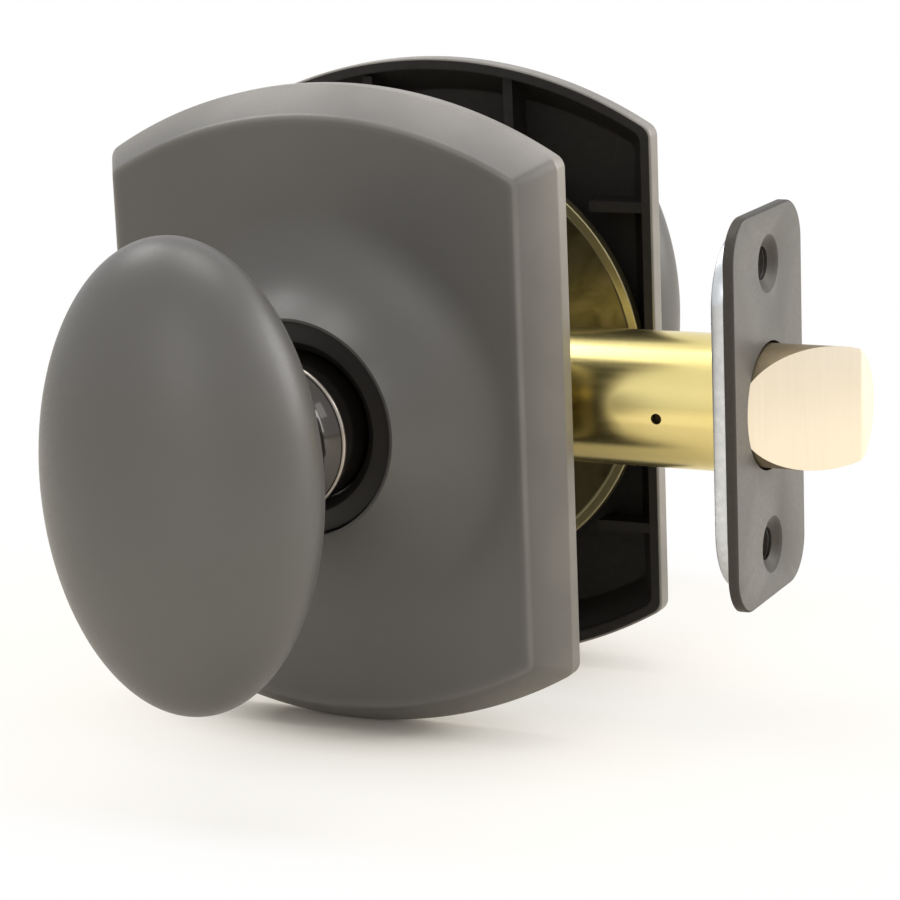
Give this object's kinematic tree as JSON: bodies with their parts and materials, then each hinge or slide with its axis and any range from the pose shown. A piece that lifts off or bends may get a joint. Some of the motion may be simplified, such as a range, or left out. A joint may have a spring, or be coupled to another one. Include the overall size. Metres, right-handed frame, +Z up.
{
  "type": "passage door knob set",
  "caption": "Passage knob set with egg-shaped knobs on arched roses and a tubular latch whose bevelled spring bolt the knobs draw back.",
  "frame": {"origin": "where the spindle's axis crosses the latch's axis, midway through the door", "axes": "+X towards the door's edge and the bolt's tip, +Y through the door away from the front side, +Z up"},
  "size_m": [0.1093, 0.1566, 0.0952],
  "materials": {
    "satin_bronze": "satin dark bronze plating under clear lacquer",
    "dark_bronze": "dark bronze, semi-gloss",
    "black_nylon": "moulded nylon",
    "yellow_plated_steel": "yellow chromate over zinc",
    "polished_brass": "polished",
    "satin_nickel": "satin",
    "zinc_steel": "bright zinc",
    "spring_steel": "oiled spring wire"
  },
  "bodies": {
    "housing": {"front_rose": "satin_bronze", "rear_rose": "satin_bronze", "front_mounting_plate": "yellow_plated_steel", "rear_mounting_plate": "yellow_plated_steel", "front_bearing_sleeve": "zinc_steel", "rear_bearing_sleeve": "zinc_steel", "front_knob_bushing": "black_nylon", "rear_knob_bushing": "black_nylon", "front_return_spring": "spring_steel", "rear_return_spring": "spring_steel", "mounting_posts": "zinc_steel", "mounting_screws": "zinc_steel", "latch_tube": "polished_brass", "latch_case": "zinc_steel", "latch_faceplate": "satin_bronze", "latch_backplate": "zinc_steel", "spring_seat": "zinc_steel", "bolt_spring": "spring_steel"},
    "knobs": {"front_knob": "satin_bronze", "rear_knob": "satin_bronze", "front_knob_neck": "dark_bronze", "rear_knob_neck": "dark_bronze", "front_retaining_ring": "spring_steel", "rear_retaining_ring": "spring_steel", "front_spring_driver": "zinc_steel", "rear_spring_driver": "zinc_steel", "spindle": "zinc_steel", "latch_hub": "zinc_steel"},
    "bolt": {"latch_bolt": "satin_nickel", "retractor": "zinc_steel", "retractor_pins": "zinc_steel", "bolt_rivet": "zinc_steel"}
  },
  "joints": [
    {"name": "knob_turn", "type": "hinge", "parent": "housing", "child": "knobs", "pos_m": [0, 0, 0], "axis": [0, -1, 0], "range_deg": [0, 70], "stiffness_Nm_per_rad": 0.25, "springref_deg": -34.38, "deforming": ["front_return_spring", "rear_return_spring"]},
    {"name": "bolt_slide", "type": "slide", "parent": "housing", "child": "bolt", "axis": [-1, 0, 0], "range_m": [0, 0.0127], "stiffness_N_per_m": 250, "springref_m": -0.02, "deforming": ["bolt_spring"]}
  ],
  "couplings": [
    {"joint": "bolt_slide", "follows": "knob_turn", "m_per_rad": 0.010395}
  ]
}
